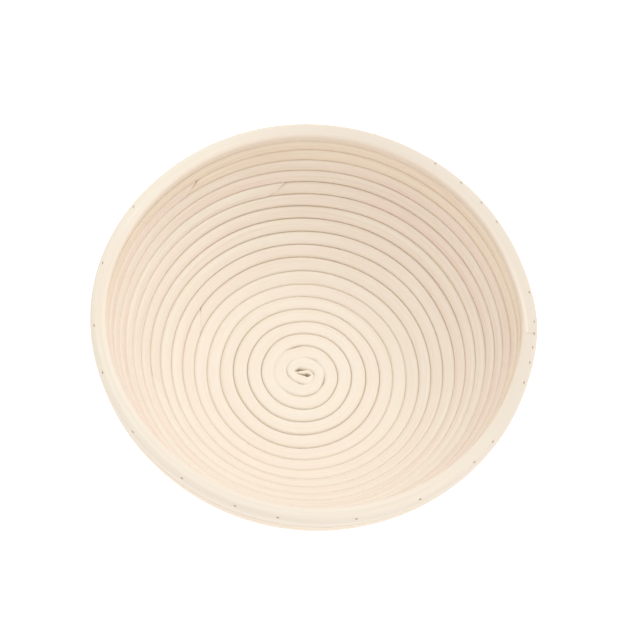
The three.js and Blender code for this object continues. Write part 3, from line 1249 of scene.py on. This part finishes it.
@dataclass
class HiddenPins:
    """The many pins that hold each turn to the one before, all out of sight between the turns."""

    coil: Coil
    first_turn: float = 1.6
    spacing: float = 36 * MM
    radius: float = 0.6 * MM
    length: float = 10.0 * MM
    clearance: float = 6 * MM
    sides: int = 6

    def places(self) -> list[float]:
        """List where the pins are, in turns, one every so many millimetres along the cane."""
        places = []
        turn = self.first_turn
        while turn < self.coil.profile.coil_turns - 1:
            places.append(turn)
            turn += self.spacing / (2 * math.pi * float(self.coil.profile.radius(turn)))
        return places

    def build(self, taken: list[Vector]) -> bpy.types.Object:
        """Make the pins as one piece.

        Args:
            taken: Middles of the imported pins, which keep their places.

        Returns:
            All other pins, joined.
        """
        deselect_all()
        bpy.ops.mesh.primitive_cylinder_add(vertices=self.sides, radius=self.radius, depth=self.length)
        first = bpy.context.object
        pins = []
        for turn in self.places():
            turns = turn + np.array([-0.001, 0.0, 0.001])
            middle = self.coil.spiral(turns)
            across = Vector(self.coil.frames(turns, middle)[0][1])
            centre = Vector(middle[1]) - across * 0.5 * self.coil.profile.cane_width
            if any((centre - other).length < self.clearance for other in taken):
                continue
            pin = first.copy()
            pin.data = first.data.copy()
            aimed = across.to_track_quat("Z", "Y").to_matrix().to_4x4()
            pin.data.transform(Matrix.Translation(centre) @ aimed)
            bpy.context.scene.collection.objects.link(pin)
            pins.append(pin)
        bpy.data.objects.remove(first, do_unlink=True)
        return join_pieces(pins)


# ---------------------------------------------------------------- studio


@dataclass
class Studio:
    """Pale floor, soft light and the camera."""

    lens: float = 125.4
    camera_place: Place = (0.0, -0.4973, 1.0641)
    aim: Place = (0.00384, 0.03287, 0.00727)
    roll: float = 10.37
    floor_size: float = 6.0
    floor_shade: float = 0.93
    floor_glow: float = 0.38
    sky: float = 1.06
    key_place: Place = (0.6, 0.8, 1.5)
    key_size: float = 1.0
    key_power: float = 7.0

    def add_floor(self) -> None:
        """Lay a wide pale floor under the basket."""
        deselect_all()
        bpy.ops.mesh.primitive_plane_add(size=self.floor_size, location=(0, 0, 0))
        floor = bpy.context.object
        floor.name = "floor"
        material, _, _ = new_material(
            "pale floor",
            Base_Color=(self.floor_shade, self.floor_shade, self.floor_shade, 1),
            Roughness=0.9,
            Emission_Color=(1, 1, 1, 1),
            Emission_Strength=self.floor_glow,
        )
        floor.data.materials.append(material)

    def add_key(self) -> None:
        """Hang one square lamp that faces the basket."""
        lamp = bpy.data.lights.new("key", "AREA")
        lamp.shape = "SQUARE"
        lamp.size = self.key_size
        lamp.energy = self.key_power
        holder = bpy.data.objects.new("key", lamp)
        holder.location = self.key_place
        holder.rotation_euler = (-Vector(self.key_place)).to_track_quat("-Z", "Y").to_euler()
        bpy.context.scene.collection.objects.link(holder)

    def add_lights(self) -> None:
        """Light the basket softly from all round, a little stronger from the right and behind."""
        world = bpy.data.worlds.new("studio")
        world.use_nodes = True
        background = world.node_tree.nodes["Background"]
        background.inputs["Color"].default_value = (1, 1, 1, 1)
        background.inputs["Strength"].default_value = self.sky
        bpy.context.scene.world = world
        self.add_key()

    def add_camera(self) -> None:
        """Place the camera above the front of the basket, turned a little on its axis."""
        data = bpy.data.cameras.new("camera")
        data.lens = self.lens
        data.sensor_width = 36.0
        camera = bpy.data.objects.new("camera", data)
        look = Vector(self.aim) - Vector(self.camera_place)
        turn = look.to_track_quat("-Z", "Y").to_matrix().to_4x4()
        roll = Matrix.Rotation(math.radians(self.roll), 4, "Z")
        camera.matrix_world = Matrix.Translation(self.camera_place) @ turn @ roll
        bpy.context.scene.collection.objects.link(camera)
        bpy.context.scene.camera = camera

    def build(self) -> None:
        """Set up the whole studio."""
        self.add_floor()
        self.add_lights()
        self.add_camera()
        bpy.context.scene.view_settings.view_transform = "Standard"


# ---------------------------------------------------------------- basket


def coil_finishes() -> tuple[CaneFinish, ...]:
    """Finishes of the five lengths, each cut from a slightly different cane.

    Each row is a name, the cream, peach, straw and groove tints, and the share of the groove's tint; the groove
    tint at that share is painted shade in the seams, darker up the wall, and the groove tint also draws the
    fibre lines.
    """
    pale = (0.85, 0.785, 0.68)
    rows = (
        ("floor", pale, (0.85, 0.765, 0.665), (0.84, 0.77, 0.63), (0.74, 0.62, 0.50), 0.4),
        ("lower wall", pale, (0.85, 0.76, 0.66), (0.84, 0.77, 0.63), (0.69, 0.55, 0.42), 0.42),
        ("middle wall", (0.85, 0.78, 0.67), (0.85, 0.75, 0.65), (0.83, 0.76, 0.61), (0.62, 0.45, 0.33), 0.45),
        ("upper wall", (0.84, 0.75, 0.64), (0.84, 0.72, 0.62), (0.83, 0.735, 0.59), (0.58, 0.39, 0.27), 0.5),
        ("top", (0.84, 0.735, 0.595), (0.84, 0.715, 0.60), (0.82, 0.715, 0.55), (0.58, 0.39, 0.27), 0.5),
    )
    return tuple(
        CaneFinish(f"cane {name}", cream, peach, straw, groove, seed=float(number), groove_shade_share=share)
        for number, (name, cream, peach, straw, groove, share) in enumerate(rows, 1)
    )


def rim_finish() -> CaneFinish:
    """Finish of the rim hoop, a little yellower and darker than the coil, with painted shade on its outer face
    and on its side towards the key lamp, and painted light on its inner face.
    """
    return CaneFinish(
        name="cane rim",
        cream=(0.775, 0.71, 0.60),
        peach=(0.775, 0.685, 0.58),
        straw=(0.76, 0.70, 0.55),
        groove=(0.60, 0.45, 0.33),
        groove_shade_share=0.0,
        outside=(0.66, 0.585, 0.505),
        outer_shade_share=0.5,
        inner_light_share=0.9,
        shaded_side_share=0.85,
        seed=6.0,
    )


def main() -> None:
    """Build the basket's pieces in order and report each."""
    logging.basicConfig(level=logging.INFO, format="%(name)s: %(message)s")
    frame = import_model()
    Studio().build()
    grain = Grain().build()
    profile = BowlProfile()
    shape = HandShape()
    coil = Coil(profile, shape, Hook())
    for index, (name, finish) in enumerate(zip(coil.names, coil_finishes())):
        piece = coil.build(index)
        finish_piece(piece, f"{name}_wound", finish.build(grain))
        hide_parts(name)
    rim = RimHoop(profile, shape)
    hoop = rim.build()
    steel = SteelFinish().build()
    nodes = sorted(frame["nodes"].items())
    seats = {name: rim.nail_axis(node) for name, node in nodes if name.startswith("rim_nail")}
    rim.press_dents(hoop, list(seats.values()))
    finish_piece(hoop, "rim_hoop_wound", rim_finish().build(grain))
    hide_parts("rim_hoop")
    for name, node in nodes:
        if name in seats:
            top, tip = seats[name]
            brad = Brad().build(top + (tip - top).normalized() * rim.nail_sink, tip)
            finish_piece(brad, f"{name}_brad", steel)
            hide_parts(name)
        elif "nail" in name:
            node.data.materials.clear()
            node.data.materials.append(steel)
    packed = [name for name in frame["nodes"] if name.startswith(("coil_nail", "splice_nail"))]
    taken = [sum((Vector(corner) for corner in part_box(name)), Vector()) / 2 for name in packed]
    finish_piece(HiddenPins(coil).build(taken), "hidden_pins", steel)


if __name__ == "__main__":
    main()
